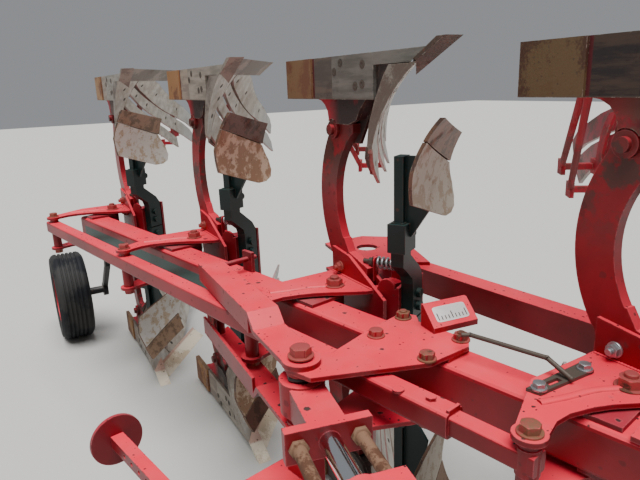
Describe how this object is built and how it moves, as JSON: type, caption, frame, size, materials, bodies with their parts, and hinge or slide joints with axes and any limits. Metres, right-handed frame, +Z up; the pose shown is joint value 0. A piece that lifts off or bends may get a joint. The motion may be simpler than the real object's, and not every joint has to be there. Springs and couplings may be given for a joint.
{
  "type": "reversible moldboard plough",
  "caption": "Mounted reversible plough: slanted beam with paired upper and lower slatted bodies, skimmers, depth wheel, width cylinder and turnover headstock.",
  "frame": {"origin": "on the ground under the middle of the bounding box at rest", "axes": "+X along the line of travel, towards the tractor; +Y to the left; +Z up"},
  "size_m": [4.8581, 1.7992, 1.724],
  "materials": {
    "red_paint": "worn gloss",
    "charcoal_steel": "worn matte",
    "worn_steel": "scoured by soil",
    "rusty_steel": "rusty",
    "green_paint": "worn matte",
    "black_paint": "matte",
    "rubber": "dusty",
    "chrome_rod": "polished",
    "zinc": "zinc plated"
  },
  "bodies": {
    "headstock": {"mast": "red_paint", "bearing_housing": "red_paint", "cross_shaft": "red_paint"},
    "carriage": {"carriage": "red_paint", "turnover_shaft": "red_paint"},
    "beam": {"beam": "red_paint", "beam_pivots": "red_paint", "carrier_plates": "red_paint", "brace_arms": "red_paint", "brace_adjuster": "rusty_steel", "stand_holder": "red_paint", "width_scale": "red_paint"},
    "turnover_barrel": {"turnover_barrel": "red_paint"},
    "turnover_rod": {"turnover_rod": "chrome_rod"},
    "width_barrel": {"width_barrel": "red_paint"},
    "width_yoke": {"width_yoke": "red_paint"},
    "parallel_rod": {"parallel_rod": "red_paint"},
    "wheel_arm": {"wheel_arm": "black_paint"},
    "wheel": {"wheel_rim": "red_paint", "tyre": "rubber"},
    "press_arm": {"press_arm": "red_paint", "press_head": "red_paint"},
    "stand": {"stand_leg": "red_paint", "stand_foot": "red_paint"},
    "body_1": {"bracket_1": "red_paint", "legs_1": "red_paint", "frogs_1": "charcoal_steel", "moldboards_1": "worn_steel", "shares_1": "rusty_steel", "landsides_1": "worn_steel", "skimmer_stalks_1": "green_paint", "skimmer_blades_1": "worn_steel", "width_pointer": "zinc"},
    "body_2": {"bracket_2": "red_paint", "legs_2": "red_paint", "frogs_2": "charcoal_steel", "moldboards_2": "worn_steel", "shares_2": "rusty_steel", "landsides_2": "worn_steel", "skimmer_stalks_2": "green_paint", "skimmer_blades_2": "worn_steel"},
    "body_3": {"bracket_3": "red_paint", "legs_3": "red_paint", "frogs_3": "charcoal_steel", "moldboards_3": "worn_steel", "shares_3": "rusty_steel", "landsides_3": "worn_steel", "skimmer_stalks_3": "green_paint", "skimmer_blades_3": "worn_steel"},
    "body_4": {"bracket_4": "red_paint", "legs_4": "red_paint", "frogs_4": "charcoal_steel", "moldboards_4": "worn_steel", "shares_4": "rusty_steel", "landsides_4": "worn_steel", "skimmer_stalks_4": "green_paint", "skimmer_blades_4": "worn_steel", "wheel_bracket": "red_paint"}
  },
  "joints": [
    {"name": "turnover", "type": "hinge", "parent": "headstock", "child": "carriage", "pos_m": [1.93413, -0.0594, 0.862], "axis": [-1, 0, 0], "range_deg": [0, 180]},
    {"name": "swing", "type": "hinge", "parent": "carriage", "child": "beam", "pos_m": [1.60413, 0.11866, 0.862], "axis": [0, 0, 1], "range_deg": [-6, 13]},
    {"name": "body_1_pivot", "type": "hinge", "parent": "beam", "child": "body_1", "pos_m": [1.2279, 0.1306, 0.862], "axis": [0, 0, 1], "range_deg": [-13, 6]},
    {"name": "body_2_pivot", "type": "hinge", "parent": "beam", "child": "body_2", "pos_m": [0.29981, -0.07226, 0.862], "axis": [0, 0, 1], "range_deg": [-13, 6]},
    {"name": "body_3_pivot", "type": "hinge", "parent": "beam", "child": "body_3", "pos_m": [-0.62827, -0.27513, 0.862], "axis": [0, 0, 1], "range_deg": [-13, 6]},
    {"name": "body_4_pivot", "type": "hinge", "parent": "beam", "child": "body_4", "pos_m": [-1.55636, -0.47799, 0.862], "axis": [0, 0, 1], "range_deg": [-13, 6]},
    {"name": "rod_pivot", "type": "hinge", "parent": "body_1", "child": "parallel_rod", "pos_m": [1.2279, -0.1844, 0.894], "axis": [0, 0, 1], "range_deg": [-6, 13]},
    {"name": "width_barrel_tilt", "type": "hinge", "parent": "carriage", "child": "width_barrel", "pos_m": [1.46198, -0.57189, 0.862], "axis": [0, 0, 1], "range_deg": [-6.47, 13.96]},
    {"name": "width_slide", "type": "slide", "parent": "width_barrel", "child": "width_yoke", "axis": [-0.9796, 0.2011, 0], "range_m": [-0.161, 0.075]},
    {"name": "wheel_flip", "type": "hinge", "parent": "body_4", "child": "wheel_arm", "pos_m": [-1.80636, -0.53799, 0.862], "axis": [0, 1, 0], "range_deg": [0, 119.63]},
    {"name": "wheel_spin", "type": "hinge", "parent": "wheel_arm", "child": "wheel", "pos_m": [-2.1391, -0.7274, 0.29], "axis": [0, 1, 0], "continuous": true},
    {"name": "press_arm_swing", "type": "hinge", "parent": "carriage", "child": "press_arm", "pos_m": [1.67413, 0.5656, 0.862], "axis": [0, 0, -1], "range_deg": [0, 50]},
    {"name": "stand_fold", "type": "hinge", "parent": "beam", "child": "stand", "pos_m": [0.7279, -0.6994, 0.562], "axis": [0.2135, -0.9769, 0], "range_deg": [0, 90]},
    {"name": "turnover_barrel_tilt", "type": "hinge", "parent": "headstock", "child": "turnover_barrel", "pos_m": [2.28413, -0.0594, 1.342], "axis": [-1, 0, 0], "range_deg": [0, 25.86]},
    {"name": "turnover_slide", "type": "slide", "parent": "turnover_barrel", "child": "turnover_rod", "axis": [0, 0.2234, -0.9747], "range_m": [0, 0.098]}
  ],
  "couplings": [
    {"joint": "body_1_pivot", "follows": "swing", "ratio": -1},
    {"joint": "body_2_pivot", "follows": "swing", "ratio": -1},
    {"joint": "body_3_pivot", "follows": "swing", "ratio": -1},
    {"joint": "body_4_pivot", "follows": "swing", "ratio": -1},
    {"joint": "rod_pivot", "follows": "swing", "ratio": 1},
    {"joint": "width_barrel_tilt", "follows": "swing", "ratio": 1.07},
    {"joint": "width_slide", "follows": "swing", "m_per_rad": -0.705},
    {"joint": "turnover_barrel_tilt", "follows": "turnover", "ratio": 0.14342}
  ]
}
